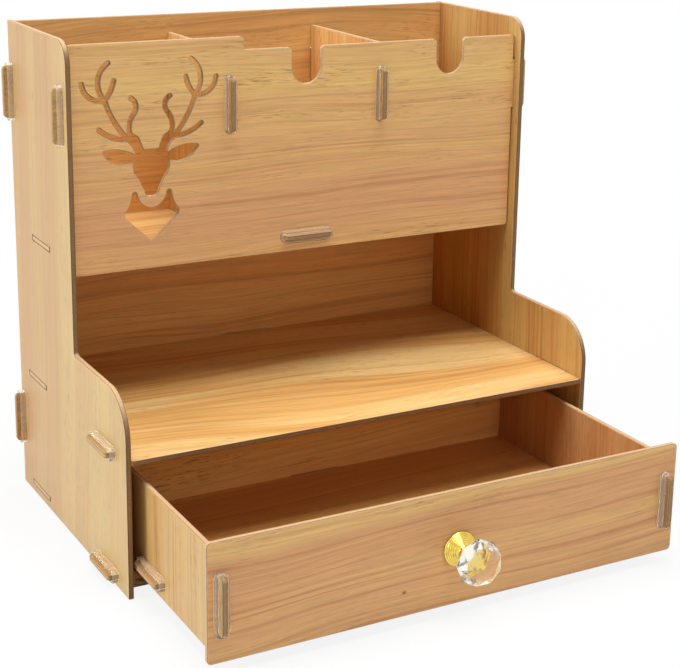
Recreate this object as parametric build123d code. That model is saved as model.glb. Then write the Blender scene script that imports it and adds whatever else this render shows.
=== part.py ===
from build123d import *
import os
from math import cos, pi, sin

# A slot-together desk organizer: flat boards with tabs that pass through slots and are locked from
# outside by clear plastic collars. Pen compartments stand over an open shelf and one drawer.
# Millimetres. +X is right, +Y is to the back, +Z is up. The drawer is drawn part way out.

# ---- Boards and joints ----
board = 3.2                 # thickness of every board
corner_round = 2.5          # rounding of the free corners
tab_length = 33.0           # length of every tab, along the board's edge
tab_reach = 6.2             # how far a locked tab stands out of the board it passes through
tab_round = 2.4             # rounding of a locked tab's end
slot_play = 0.25            # play between a tab's faces and its slot, on each side
slot_end_play = 1.2         # play beyond each end of a tab, in its slot
clip_wall = 2.8             # the locking collar's wall beside the tab
clip_end_wall = 1.6         # the locking collar's wall beyond the tab's ends
clip_end_play = 0.5         # the collar's hole is longer than the tab by this much at each end
clip_depth = 3.6            # how far the collar stands out of the board
clip_rim_round = 0.6        # rounding of the collar's outer rim

# ---- Cabinet ----
width = 320.0               # over the outer faces of the two sides
height = 312.0
upper_depth = 110.0         # depth of the sides beside the pen compartments
lower_depth = 195.5         # depth of the sides beside the drawer
arm_height = 122.5          # top of the sides' forward arms
arm_round = 27.0            # front corner of the arms
side_top_round = 14.0       # top front corner of the sides
step_round = 2.5            # inner corner where the arm meets the upper part
back_inset = 3.6            # back panel's rear face, in from the sides' rear edges
bottom_lift = 5.0           # underside of the bottom board above the ground
shelf_top = 85.0
front_tab_inset = 34.5      # centre of the shelf's and bottom board's locked tabs, behind the arms' front
rear_tab_inset = 36.5       # centre of their flush tabs, before the sides' rear edges
floor_underside = 177.3     # the pen compartments' floor
high_tab_drop = 44.7        # centre of the upper upright boards' locked tabs, below the sides' top
low_tab = 48.1              # centre height of the back panel's lower tabs

# ---- Pierced front panel ----
panel_inset = 7.3           # its face, in from the sides' upper front edges
panel_play = 0.8            # beside the panel, between its tabs and on each side
panel_bottom = 169.0
panel_drop = 11.7           # its top and the dividers' top, below the sides' top
panel_raise = 8.4           # the left compartment's part stands higher by this much
raised_past_divider = 10.0  # end of the raised part, past the left divider
notch_width = 21.0
notch_depth = 23.4
stag_side_room = 7.4        # beside the stag, to the side board and to the left divider
stag_head_room = 10.2       # above its antlers
stag_foot_room = 17.0       # below its chest
stag_grid_width = 88.6      # the stag is drawn on a grid of its own, and stands on it this wide
stag_grid_height = 112.5    # and this high
stag_grid_foot = 34.0       # the point of its chest, below the grid's zero line
antler_width = 3.0          # on that grid

# ---- Drawer ----
drawer_open = 101.0         # how far out it is drawn; 0 is closed, flush with the sides
drawer_front_play = 2.0     # beside the drawer front, on each side
drawer_front_bottom = 6.8
drawer_front_height = 69.7
drawer_side_gap = 8.0       # between the drawer's sides and the cabinet's, room for tabs and collars
drawer_side_height = 60.8
drawer_tab = 40.8           # centre height of the drawer's upright tabs and of the knob
drawer_run_play = 0.2       # between the drawer and the bottom board
drawer_stop_play = 0.3      # between the closed drawer front and the bottom board
drawer_rear_gap = 4.2       # behind the closed drawer
drawer_floor_lift = 8.8     # underside of the drawer's bottom above its sides' lower edges

# ---- Knob, measured out from the drawer front ----
rosette_radius = 10.6
rosette_height = 5.0
rosette_rings = 3
stem_radius = 4.0
stem_flare = 1.2            # the stem widens by this much into the rosette
cup_radius = 7.4
cup_height = 3.2
cup_rim = 1.0
cup_reach = 12.2            # the crystal sits here
crystal_radius = 14.6       # to the corners of its girdle
girdle_reach = 19.6
girdle_width = 2.0
table_radius = 9.6
crystal_reach = 28.4
screw_radius = 2.0
screw_head_radius = 3.8
screw_head_height = 2.4
screw_head_round = 1.4
screw_grip = 7.0            # thread length inside the knob's stem

# ---- Places that follow from them ----
inner_half = width / 2 - board
rear = (lower_depth + drawer_open + crystal_reach) / 2
upper_front = rear - upper_depth
lower_front = rear - lower_depth
back_rear = rear - back_inset
back_face = back_rear - board
panel_face = upper_front + panel_inset
panel_rear = panel_face + board
floor_top = floor_underside + board
shelf_underside = shelf_top - board
bottom_top = bottom_lift + board
bottom_front = lower_front + board + drawer_stop_play
front_tab = lower_front + front_tab_inset
rear_tab = rear - rear_tab_inset
high_tab = height - high_tab_drop
divider_x = width / 6
room_middle = (panel_rear + back_face) / 2

panel_top = height - panel_drop
raised_top = panel_top + panel_raise
raised_end = -divider_x + raised_past_divider
stag_room = raised_top - stag_head_room - panel_bottom - stag_foot_room
stag_span = inner_half - divider_x - 2 * stag_side_room
stag_scale = min(stag_room / stag_grid_height, stag_span / stag_grid_width)
stag_middle = -(inner_half + divider_x) / 2
stag_level = panel_bottom + stag_foot_room + stag_grid_foot * stag_scale

drawer_face = lower_front - drawer_open
drawer_front_rear = drawer_face + board
drawer_front_half = inner_half - drawer_front_play
drawer_side_outer = inner_half - drawer_side_gap
drawer_side_middle = drawer_side_outer - board / 2
drawer_inner_half = drawer_side_outer - board
drawer_low = bottom_top + drawer_run_play
drawer_top = drawer_low + drawer_side_height
drawer_end = back_face - drawer_rear_gap - drawer_open
drawer_back_rear = drawer_end - back_inset
drawer_back_face = drawer_back_rear - board
drawer_floor = drawer_low + drawer_floor_lift
drawer_room_middle = (drawer_front_rear + drawer_back_face) / 2

locked = board + tab_reach  # a locked tab's length out of its own board
flush = board               # a flush tab ends level with the far face


# ---- Flat sketches: tabs, slots and boards ----

def across(y):
    """Plane of a board that faces the front: sketch X is +X, sketch Y is up, thickness runs forward."""
    return Plane(origin=(0, y, 0), x_dir=(1, 0, 0), z_dir=(0, -1, 0))


def beside(x):
    """Plane of a board that faces the side: sketch X is +Y, sketch Y is up, thickness runs right."""
    return Plane(origin=(x, 0, 0), x_dir=(0, 1, 0), z_dir=(1, 0, 0))


def sheet(plane, outline):
    """A board cut from one sheet."""
    return extrude(plane * outline, board)


def rectangle(u0, u1, v0, v1):
    """Rectangle from its low and high edges."""
    return Pos((u0 + u1) / 2, (v0 + v1) / 2) * Rectangle(u1 - u0, v1 - v0)


def tab_flat(u, v, reach):
    """Tab along the sketch's X on the edge through (u, v), standing out by reach both ways."""
    if reach > flush:
        return Pos(u, v) * RectangleRounded(tab_length, 2 * reach, tab_round)
    return Pos(u, v) * Rectangle(tab_length, 2 * reach)


def tab_upright(u, v, reach):
    """Tab along the sketch's Y on the edge through (u, v)."""
    return Pos(u, v) * Rot(0, 0, 90) * tab_flat(0, 0, reach)


def slot_flat(u, v):
    """Slot for a tab that lies along the sketch's X."""
    return Pos(u, v) * Rectangle(tab_length + 2 * slot_end_play, board + 2 * slot_play)


def slot_upright(u, v):
    """Slot for a tab that lies along the sketch's Y."""
    return Pos(u, v) * Rot(0, 0, 90) * slot_flat(0, 0)


def rounded(outline, corners, radius):
    """The outline with the corners nearest to these points rounded."""
    picked = [outline.vertices().sort_by_distance(Vector(u, v, 0))[0] for u, v in corners]
    return fillet(picked, radius)


# ---- Locking collars ----

def locking_clip():
    """A clear stadium-shaped collar, tab along X, seated face at Z = 0."""
    hole_length = tab_length + 2 * clip_end_play
    ring = SlotOverall(hole_length + 2 * clip_end_wall, board + 2 * clip_wall)
    ring -= Rectangle(hole_length, board)
    body = extrude(ring, clip_depth)
    rim = body.faces().sort_by(Axis.Z)[-1].outer_wire().edges()
    return fillet(rim, clip_rim_round)


def clips(places):
    """A group of collars; each place is a point, the tab's direction and the way out."""
    collars = [Plane(origin=p, x_dir=run, z_dir=out) * locking_clip() for p, run, out in places]
    return Compound(children=collars)


def clip_pair(x, y, z, run):
    """Two collars on the outer faces at -x and +x."""
    return clips([((-x, y, z), run, (-1, 0, 0)), ((x, y, z), run, (1, 0, 0))])


def mid(face):
    """Middle of a board's thickness, from the face that its sketch lies on."""
    return face + board / 2


# ---- Cabinet boards ----

def side_outline():
    """Side board: tall rear part, low arm in front, and a slot for every tab that comes through."""
    profile = rectangle(upper_front, rear, 0, height) + rectangle(lower_front, rear, 0, arm_height)
    profile = rounded(profile, [(upper_front, height)], side_top_round)
    profile = rounded(profile, [(lower_front, arm_height)], arm_round)
    profile = rounded(profile, [(upper_front, arm_height)], step_round)
    upright = [(mid(panel_face), high_tab), (mid(back_face), high_tab), (mid(back_face), low_tab)]
    for u, v in upright:
        profile -= slot_upright(u, v)
    for u in (front_tab, rear_tab):
        profile -= slot_flat(u, mid(shelf_underside))
        profile -= slot_flat(u, mid(bottom_lift))
    profile -= slot_flat(room_middle, mid(floor_underside))
    return profile


def back_outline():
    """Back panel: locked tabs into both sides, slots for the flush tabs of what stands before it."""
    profile = rectangle(-inner_half, inner_half, 0, height)
    for u in (-inner_half, inner_half):
        profile += tab_upright(u, high_tab, locked) + tab_upright(u, low_tab, locked)
    for v in (bottom_lift, shelf_underside, floor_underside):
        profile -= slot_flat(0, mid(v))
    for u in (-divider_x, divider_x):
        profile -= slot_upright(u, high_tab)
    return profile


def level_board(low_y, high_y, side_tabs, front_tab=None):
    """Level board between the sides; side_tabs holds (y, reach) pairs, a flush tab enters the back."""
    profile = rectangle(-inner_half, inner_half, low_y, high_y)
    for y, reach in side_tabs:
        profile += tab_upright(-inner_half, y, reach) + tab_upright(inner_half, y, reach)
    profile += tab_flat(0, high_y, flush)
    if front_tab:
        profile += tab_flat(0, low_y, front_tab)
    return profile


def shelf_outline():
    """The open shelf, flush with the arms' front edges, its free corners rounded."""
    profile = level_board(lower_front, back_face, [(front_tab, locked), (rear_tab, flush)])
    return rounded(profile, [(-inner_half, lower_front), (inner_half, lower_front)], corner_round)


def bottom_outline():
    """Bottom board, set back so that the drawer front closes before it."""
    return level_board(bottom_front, back_face, [(front_tab, locked), (rear_tab, flush)])


def floor_outline():
    """Floor of the pen compartments; its front tab is locked on the pierced panel."""
    return level_board(panel_rear, back_face, [(room_middle, flush)], locked)


def divider_outline():
    """Divider in a side-facing plane: locked through the panel, flush in the back."""
    profile = rectangle(panel_rear, back_face, floor_top, panel_top)
    profile += tab_upright(panel_rear, high_tab, locked)
    profile += tab_upright(back_face, high_tab, flush)
    return profile


# ---- The stag, pierced through the front panel ----

def antler():
    """Right antler: a beam and its tines, each a round-ended slot along an arc."""
    lines = [
        ThreePointArc((7.5, 24.0), (21.0, 38.2), (28.8, 54.8)),      # beam
        ThreePointArc((28.8, 54.8), (38.8, 57.4), (42.8, 65.3)),     # outer top tine
        ThreePointArc((28.8, 54.8), (32.8, 66.0), (26.3, 77.0)),     # middle top tine
        ThreePointArc((28.8, 54.8), (25.0, 60.3), (22.9, 66.3)),     # inner top tine
        ThreePointArc((13.0, 30.6), (24.0, 32.0), (32.8, 37.4)),     # brow tine
        ThreePointArc((10.5, 28.5), (13.9, 37.5), (11.1, 45.4)),     # inner tine, lower half
        ThreePointArc((11.1, 45.4), (9.2, 50.2), (12.6, 55.3)),      # inner tine, upper half
    ]
    shape = Sketch() + [SlotArc(line, antler_width) for line in lines]
    # the beam widens towards the skull
    outer = [(15.5, 32.8), (13.0, 28.5), (10.6, 22.0)]
    root = Polyline((4.2, 22.0), (8.0, 31.5), (11.5, 33.6), *outer, close=True)
    return shape + make_face(root)


def ear():
    """Right ear: a leaf that springs from the side of the skull."""
    top = ThreePointArc((9.0, 19.8), (19.5, 24.4), (29.6, 24.6))
    tip = ThreePointArc((29.6, 24.6), (31.0, 23.3), (30.2, 21.8))
    low = ThreePointArc((30.2, 21.8), (20.0, 15.0), (9.0, 17.6))
    return make_face([top, tip, low, Line((9.0, 17.6), (9.0, 19.8))])


def half_head():
    """Right half of the head, from the skull down to the muzzle."""
    skull = Polyline((0, 23.6), (9.4, 23.6), (11.4, 19.5))
    cheek = ThreePointArc((11.4, 19.5), (11.9, 14.0), (11.0, 9.0))
    jaw = Polyline((11.0, 9.0), (8.0, 5.2), (6.2, 0.8), (4.6, -1.8))
    muzzle = ThreePointArc((4.6, -1.8), (3.6, -4.6), (0, -5.4))
    return make_face([skull, cheek, jaw, muzzle, Line((0, -5.4), (0, 23.6))])


def half_chest():
    """Right half of the chest below the muzzle: a collar peak over a pointed shield."""
    collar = ThreePointArc((0, -12.9), (6.6, -9.8), (9.5, -3.8))
    peak = ThreePointArc((9.5, -3.8), (11.2, -2.2), (12.9, -3.8))
    flank = ThreePointArc((12.9, -3.8), (14.2, -9.6), (17.5, -14.6))
    hip = ThreePointArc((17.5, -14.6), (17.5, -17.2), (15.6, -19.6))
    edge = Polyline((15.6, -19.6), (0, -34.0), (0, -12.9))
    return make_face([collar, peak, flank, hip, edge])


def stag():
    """The whole stag, mirrored about its upright axis."""
    half = half_head() + ear() + antler() + half_chest()
    whole = half + mirror(half, Plane.YZ)
    return Pos(stag_middle, stag_level) * scale(whole, by=stag_scale)


def panel_outline():
    """Front panel: raised on the left, finger notches in the other compartments, and the stag."""
    edge = inner_half - panel_play
    profile = rectangle(-edge, edge, panel_bottom, panel_top)
    profile += rectangle(-edge, raised_end, panel_bottom, raised_top)
    corners = [(-edge, raised_top), (raised_end, raised_top), (edge, panel_top)]
    corners += [(edge, panel_bottom), (-edge, panel_bottom)]
    notch_end = panel_top - notch_depth + notch_width / 2
    for u in (0, (divider_x + board / 2 + inner_half) / 2):
        profile -= Pos(u, notch_end) * Circle(notch_width / 2)
        profile -= rectangle(u - notch_width / 2, u + notch_width / 2, notch_end, panel_top)
        corners += [(u - notch_width / 2, panel_top), (u + notch_width / 2, panel_top)]
    profile = rounded(profile, corners, corner_round)
    for u in (-inner_half, inner_half):
        profile += tab_upright(u, high_tab, locked)
    for u in (-divider_x, divider_x):
        profile -= slot_upright(u, high_tab)
    profile -= slot_flat(0, mid(floor_underside))
    return profile - stag()


# ---- Drawer boards ----

def drawer_front():
    """Drawer front: two upright slots for the sides' tabs and a hole for the knob's screw."""
    high = drawer_front_bottom + drawer_front_height
    profile = rectangle(-drawer_front_half, drawer_front_half, drawer_front_bottom, high)
    profile = fillet(profile.vertices(), corner_round)
    for u in (-drawer_side_middle, drawer_side_middle):
        profile -= slot_upright(u, drawer_tab)
    profile -= Pos(0, drawer_tab) * Circle(screw_radius + slot_play)
    return sheet(across(drawer_front_rear), profile)


def drawer_side_outline():
    """Drawer side: a locked tab forward, slots for the drawer's bottom and back."""
    profile = rectangle(drawer_front_rear, drawer_end, drawer_low, drawer_top)
    profile += tab_upright(drawer_front_rear, drawer_tab, locked)
    profile -= slot_flat(drawer_room_middle, mid(drawer_floor))
    profile -= slot_upright(mid(drawer_back_face), drawer_tab)
    return profile


def drawer_bottom():
    """Drawer bottom: locked tabs into both drawer sides, a flush tab into the drawer back."""
    profile = rectangle(-drawer_inner_half, drawer_inner_half, drawer_front_rear, drawer_back_face)
    for u in (-drawer_inner_half, drawer_inner_half):
        profile += tab_upright(u, drawer_room_middle, locked)
    profile += tab_flat(0, drawer_back_face, flush)
    return sheet(Plane.XY.offset(drawer_floor), profile)


def drawer_back():
    """Drawer back: locked tabs into both drawer sides."""
    profile = rectangle(-drawer_inner_half, drawer_inner_half, drawer_low, drawer_top)
    for u in (-drawer_inner_half, drawer_inner_half):
        profile += tab_upright(u, drawer_tab, locked)
    profile -= slot_flat(0, mid(drawer_floor))
    return sheet(across(drawer_back_rear), profile)


# ---- Knob ----

knob_plane = Plane(origin=(0, drawer_face, drawer_tab), x_dir=(1, 0, 0), z_dir=(0, -1, 0))


def knob_base():
    """Turned brass base: a rosette of stepped rings, a waisted stem and a cup under the crystal."""
    foot_radius = stem_radius + stem_flare
    tread = (rosette_radius - foot_radius) / rosette_rings
    rise = rosette_height / rosette_rings
    rings = [(0, 0)]
    for i in range(rosette_rings):
        radius = rosette_radius - i * tread
        rings += [(radius, i * rise), (radius, (i + 0.5) * rise), (radius - tread / 2, (i + 1) * rise)]
    rings += [(foot_radius, rosette_height)]
    cup_foot = cup_reach - cup_height
    waist = ThreePointArc((foot_radius, rosette_height), (stem_radius, (rosette_height + cup_foot) / 2),
                          (foot_radius, cup_foot))
    cup = Polyline((foot_radius, cup_foot), (cup_radius, cup_reach - cup_rim), (cup_radius, cup_reach),
                   (0, cup_reach), (0, 0))
    body = revolve(Plane.XZ * make_face([Polyline(*rings), waist, cup]), Axis.Z)
    body -= extrude(Circle(screw_radius), screw_grip)
    return knob_plane * body


def octagon_ring(radius, z, turn):
    """Corners of an octagon, turned by so many eighths of a half turn."""
    angles = [(2 * i + turn) * pi / 8 for i in range(8)]
    return [Vector(radius * cos(a), radius * sin(a), z) for a in angles]


def knob_crystal():
    """Cut crystal: an eight-cornered girdle between a table and a smaller back face, flat facets."""
    back = octagon_ring(cup_radius, cup_reach, 1)
    girdle_low = octagon_ring(crystal_radius, girdle_reach - girdle_width / 2, 0)
    girdle_high = octagon_ring(crystal_radius, girdle_reach + girdle_width / 2, 0)
    table = octagon_ring(table_radius, crystal_reach, 1)
    faces = [Face(Wire.make_polygon(back)), Face(Wire.make_polygon(table))]
    for i in range(8):
        j = (i + 1) % 8
        faces.append(Face(Wire.make_polygon([girdle_low[i], girdle_low[j], girdle_high[j], girdle_high[i]])))
        faces.append(Face(Wire.make_polygon([girdle_low[i], girdle_low[j], back[i]])))
        faces.append(Face(Wire.make_polygon([back[i], back[j], girdle_low[j]])))
        faces.append(Face(Wire.make_polygon([girdle_high[i], girdle_high[j], table[i]])))
        faces.append(Face(Wire.make_polygon([table[i], table[j], girdle_high[j]])))
    return knob_plane * Solid(Shell(faces))


def knob_screw():
    """Pan-head screw from inside the drawer, through its front into the knob's stem."""
    standing = (Align.CENTER, Align.CENTER, Align.MIN)
    shank = Pos(0, 0, -board) * Cylinder(screw_radius, board + screw_grip, align=standing)
    head = Cylinder(screw_head_radius, screw_head_height, align=standing)
    head = Pos(0, 0, -board - screw_head_height) * head
    head = fillet(head.faces().sort_by(Axis.Z)[0].edges(), screw_head_round)
    return knob_plane * (shank + head)


# ---- Assembly ----

half = width / 2
forward = (0, -1, 0)
up = (0, 0, 1)
along_y = (0, 1, 0)
along_x = (1, 0, 0)

side = side_outline()
divider = divider_outline()
drawer_side = drawer_side_outline()

nodes = {
    "left_side": sheet(beside(-half), side),
    "right_side": sheet(beside(inner_half), side),
    "back_panel": sheet(across(back_rear), back_outline()),
    "pierced_front_panel": sheet(across(panel_rear), panel_outline()),
    "left_divider": sheet(beside(-divider_x - board / 2), divider),
    "right_divider": sheet(beside(divider_x - board / 2), divider),
    "compartment_floor": sheet(Plane.XY.offset(floor_underside), floor_outline()),
    "shelf": sheet(Plane.XY.offset(shelf_underside), shelf_outline()),
    "bottom_board": sheet(Plane.XY.offset(bottom_lift), bottom_outline()),
    "front_panel_clips": clip_pair(half, mid(panel_face), high_tab, up),
    "back_panel_upper_clips": clip_pair(half, mid(back_face), high_tab, up),
    "back_panel_lower_clips": clip_pair(half, mid(back_face), low_tab, up),
    "shelf_clips": clip_pair(half, front_tab, mid(shelf_underside), along_y),
    "bottom_board_clips": clip_pair(half, front_tab, mid(bottom_lift), along_y),
    "divider_clips": clips([((x, panel_face, high_tab), up, forward) for x in (-divider_x, divider_x)]),
    "floor_clip": clips([((0, panel_face, mid(floor_underside)), along_x, forward)]),
    "drawer_front": drawer_front(),
    "drawer_left_side": sheet(beside(-drawer_side_outer), drawer_side),
    "drawer_right_side": sheet(beside(drawer_inner_half), drawer_side),
    "drawer_back": drawer_back(),
    "drawer_bottom": drawer_bottom(),
    "drawer_front_clips": clips(
        [((x, drawer_face, drawer_tab), up, forward) for x in (-drawer_side_middle, drawer_side_middle)]),
    "drawer_bottom_clips": clip_pair(drawer_side_outer, drawer_room_middle, mid(drawer_floor), along_y),
    "drawer_back_clips": clip_pair(drawer_side_outer, mid(drawer_back_face), drawer_tab, up),
    "knob_base": knob_base(),
    "knob_crystal": knob_crystal(),
    "knob_screw": knob_screw(),
}

os.makedirs("parts", exist_ok=True)
for name, shape in nodes.items():
    export_step(shape, f"parts/{name}.step")
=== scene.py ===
from math import pi

import bmesh
import bpy
import numpy as np
from mathutils import Matrix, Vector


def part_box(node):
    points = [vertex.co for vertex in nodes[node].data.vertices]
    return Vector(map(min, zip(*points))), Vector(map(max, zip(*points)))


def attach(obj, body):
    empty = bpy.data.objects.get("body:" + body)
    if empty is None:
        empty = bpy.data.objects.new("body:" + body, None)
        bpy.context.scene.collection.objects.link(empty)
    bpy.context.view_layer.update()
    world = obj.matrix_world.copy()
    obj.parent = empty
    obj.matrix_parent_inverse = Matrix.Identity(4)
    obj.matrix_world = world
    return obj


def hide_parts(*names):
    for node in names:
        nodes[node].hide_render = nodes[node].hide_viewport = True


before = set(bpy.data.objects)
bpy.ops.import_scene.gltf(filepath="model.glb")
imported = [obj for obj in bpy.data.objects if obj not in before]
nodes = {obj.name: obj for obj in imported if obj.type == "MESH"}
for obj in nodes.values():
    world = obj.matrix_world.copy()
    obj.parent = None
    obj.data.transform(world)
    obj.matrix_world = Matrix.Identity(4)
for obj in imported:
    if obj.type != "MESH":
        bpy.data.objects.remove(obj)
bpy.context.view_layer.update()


# ---- The two sides ----
# Tall boards with a low arm in front, cut by laser from 3.2 mm fibreboard that is faced on both sides with a
# printed wood-grain laminate. They stand on the table, and the back panel, the pierced panel and the three
# level boards come through their slots with tabs.

def shader(tree, kind, sockets=(), **settings):
    """Adds a shader node; sockets gives an input either a value or the output that feeds it."""
    made = tree.nodes.new("ShaderNode" + kind)
    for setting, value in settings.items():
        setattr(made, setting, value)
    for socket, value in dict(sockets).items():
        if isinstance(value, bpy.types.NodeSocket):
            tree.links.new(value, made.inputs[socket])
        else:
            made.inputs[socket].default_value = value
    return made


def sum_of(tree, a, b, how="ADD"):
    """One number worked out from two numbers or outputs."""
    return shader(tree, "Math", {0: a, 1: b}, operation=how).outputs[0]


def in_millimetres(tree, place, start=(0, 0, 0), turn=(0, 0, 0)):
    """A place on a piece in millimetres, turned and then moved on by start."""
    sockets = {"Vector": place, "Location": start, "Rotation": turn, "Scale": (1000, 1000, 1000)}
    return shader(tree, "Mapping", sockets).outputs[0]


def grain_noise(tree, place, along, across, detail=1.0, roughness=0.5):
    """Noise whose blotches are this long along the grain and this wide across it, in millimetres."""
    steps = (1 / along, 1 / across, 1 / across)
    vector = shader(tree, "VectorMath", {0: place, 1: steps}, operation="MULTIPLY").outputs[0]
    sockets = {"Vector": vector, "Scale": 1.0, "Detail": detail, "Roughness": roughness}
    return shader(tree, "TexNoise", sockets).outputs[0]


def ramp(tree, value, low, high, bottom=0.0, top=1.0):
    """Goes smoothly from bottom to top as value goes from low to high."""
    sockets = {0: value, 1: low, 2: high, 3: bottom, 4: top}
    return shader(tree, "MapRange", sockets, interpolation_type="SMOOTHSTEP").outputs[0]


def blend_colours(tree, share, under, over, how="MIX"):
    """Lays one colour over another by a share."""
    sockets = {0: share, 6: under, 7: over}
    return shader(tree, "Mix", sockets, data_type="RGBA", blend_type=how).outputs[2]


def toned(tree, colour, tone):
    """A colour made lighter or darker by a number."""
    grey = shader(tree, "CombineXYZ", {0: tone, 1: tone, 2: tone}).outputs[0]
    return blend_colours(tree, 1.0, colour, grey, "MULTIPLY")


def new_finish(name):
    """A material with an empty node tree, and its output node."""
    finish = bpy.data.materials.new(name)
    finish.use_nodes = True
    tree = finish.node_tree
    tree.nodes.clear()
    return finish, tree, tree.nodes.new("ShaderNodeOutputMaterial")


def planned_bands(tree, place, plan):
    """The rosy share of the print by the place across the board: plan lists places and shares in order, with
    a smooth curve between them."""
    first = plan[0][0]
    last = plan[-1][0]
    share = shader(tree, "MapRange", {0: place, 1: first, 2: last}).outputs[0]
    made = tree.nodes.new("ShaderNodeValToRGB")
    tree.links.new(share, made.inputs[0])
    stops = made.color_ramp.elements
    made.color_ramp.interpolation = "EASE"
    for across, rosy in plan[1:-1]:
        stops.new((across - first) / (last - first)).color = (rosy, rosy, rosy, 1)
    stops[0].color = (plan[0][1],) * 3 + (1,)
    stops[-1].color = (plan[-1][1],) * 3 + (1,)
    return made.outputs[0]


def past_face(tree, place, tabs):
    """1 on a board's tabs and 0 on the rest. tabs is an axis and the two places along it past which they
    begin."""
    axis, first, last = tabs
    along = shader(tree, "SeparateXYZ", {0: place}).outputs[axis]
    apart = sum_of(tree, sum_of(tree, along, (first + last) / 2, "SUBTRACT"), 0.0, "ABSOLUTE")
    return sum_of(tree, apart, (last - first) / 2, "GREATER_THAN")


GRAIN_TURN = {"upright": (0, pi / 2, 0), "across": (-pi / 2, 0, 0), "level": (0, 0, 0)}

# What the print shows, each by its length along the grain and its width across it, in millimetres.
SLOW_BEND = (340, 150)
QUICK_BEND = (130, 26)
NARROW_LINE = (480, 2.9)
FIBRE = (34, 1.1)
PORE = (9, 0.62)
PORE_PATCH = (60, 12)
# The blotches of the painted shade on the tabs, which are not part of the print.
TAB_SHADE_BLOTCH = (5, 2.5)
QUICK_BEND_REACH = 1.8

# Where the bay's painted shade comes in towards the back, and where it ends going up, in metres.
BAY_SHADE_DEPTH = (0.055, 0.115)
BAY_SHADE_HEIGHT = (0.16, 0.19)
RELIEF_DEPTH = 0.0001
# Painted shade laid on the tabs where the collars close round them.
collar_shade_brown = (0.37, 0.22, 0.085, 1)
knot_brown = (0.22, 0.09, 0.03, 1)


def laminate(name, grain, start, tones, wander=9.0, lines=0.6, shine=0.3, lean=0.0, plan=(),
             figure=(900, 32), tabs=None, bay=None, knot=None):
    """Printed wood grain. The board is turned so that the grain runs along the first axis, in millimetres.
    A slow noise bends the pattern sideways by wander and lean tilts it, then long bands of the figure's size
    go from straw to rose by noise and by the plan, narrow lines in the streak's tone darken the rosy ones
    most, fine fibres vary it, and short pores gather in patches. Pores and fibres also make a shallow relief.
    The tabs are darkened brown in blotches, painted shade where the collars close round them; the bay
    tint is painted shade that darkens and reddens the print round the open bay, through the whole board;
    and knot is the place of one small dark pin knot."""
    straw, rose, streak = tones
    finish, tree, output = new_finish(name)
    place = shader(tree, "TexCoord").outputs["Object"]
    flat = in_millimetres(tree, place, start, GRAIN_TURN[grain])
    slow = ramp(tree, grain_noise(tree, flat, *SLOW_BEND), 0.2, 0.8, -wander, wander)
    quick = ramp(tree, grain_noise(tree, flat, *QUICK_BEND), 0.2, 0.8, -QUICK_BEND_REACH, QUICK_BEND_REACH)
    part = shader(tree, "SeparateXYZ", {0: flat})
    tilt = sum_of(tree, part.outputs[0], -lean, "MULTIPLY")
    shift = sum_of(tree, sum_of(tree, slow, quick), tilt)
    sideways = shader(tree, "CombineXYZ", {1: shift}).outputs[0]
    bent = shader(tree, "VectorMath", {0: flat, 1: sideways}).outputs[0]

    bands = ramp(tree, grain_noise(tree, bent, *figure, 2.0), 0.36, 0.64)
    if plan:
        planned = planned_bands(tree, sum_of(tree, part.outputs[1], shift), plan)
        bands = sum_of(tree, planned, ramp(tree, bands, 0.0, 1.0, -0.22, 0.22))
    colour = blend_colours(tree, bands, straw, rose)
    narrow = ramp(tree, grain_noise(tree, bent, *NARROW_LINE, 3.0, 0.58), 0.46, 0.68, 0.0, 1.15 * lines)
    narrow = sum_of(tree, narrow, ramp(tree, bands, 0.0, 0.8, 0.45, 1.0), "MULTIPLY")
    colour = blend_colours(tree, narrow, colour, streak)
    fibre = grain_noise(tree, bent, *FIBRE, 2.0)
    colour = toned(tree, colour, ramp(tree, fibre, 0.25, 0.75, 0.91, 1.08))
    pores = ramp(tree, grain_noise(tree, bent, *PORE), 0.55, 0.74)
    patches = ramp(tree, grain_noise(tree, flat, *PORE_PATCH, 2.0), 0.42, 0.66, 0.12, 0.75)
    patches = sum_of(tree, patches, ramp(tree, bands, 0.0, 1.0, 1.15, 0.35), "MULTIPLY")
    pores = sum_of(tree, pores, patches, "MULTIPLY")
    pore_brown = tuple(0.6 * share for share in streak[:3]) + (1,)
    colour = blend_colours(tree, pores, colour, pore_brown)
    if knot:
        from_knot = shader(tree, "VectorMath", {0: flat, 1: knot + (0,)}, operation="SUBTRACT").outputs[0]
        level = shader(tree, "VectorMath", {0: from_knot, 1: (0.6, 0.9, 0)}, operation="MULTIPLY").outputs[0]
        distance = shader(tree, "VectorMath", {0: level}, operation="LENGTH").outputs["Value"]
        colour = blend_colours(tree, ramp(tree, distance, 0.3, 1.3, 0.85, 0.0), colour, knot_brown)
    # Painted shade: the tabs past the faces are darkened brown in blotches, where the collars close round
    # them.
    if tabs:
        blotches = ramp(tree, grain_noise(tree, flat, *TAB_SHADE_BLOTCH, 2.0), 0.3, 0.7, 0.5, 1.0)
        collar_shaded = sum_of(tree, past_face(tree, place, tabs), blotches, "MULTIPLY")
        colour = blend_colours(tree, collar_shaded, colour, collar_shade_brown)
    # Painted shade: inside the open bay the print is tinted darker and redder, through the whole board.
    if bay:
        spot = shader(tree, "SeparateXYZ", {0: place}).outputs
        behind = ramp(tree, spot[1], *BAY_SHADE_DEPTH)
        below = ramp(tree, spot[2], *BAY_SHADE_HEIGHT, 1.0, 0.0)
        colour = blend_colours(tree, sum_of(tree, behind, below, "MULTIPLY"), colour, bay, "MULTIPLY")

    height = sum_of(tree, sum_of(tree, fibre, 0.35, "MULTIPLY"), pores, "SUBTRACT")
    relief = shader(tree, "Bump", {"Strength": 0.12, "Distance": RELIEF_DEPTH, "Height": height}).outputs[0]
    gloss = ramp(tree, fibre, 0.3, 0.7, 0.4, 0.5)
    sockets = {"Base Color": colour, "Roughness": gloss, "Normal": relief, "Specular IOR Level": shine}
    surface = shader(tree, "BsdfPrincipled", sockets)
    tree.links.new(surface.outputs[0], output.inputs[0])
    return finish


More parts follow.
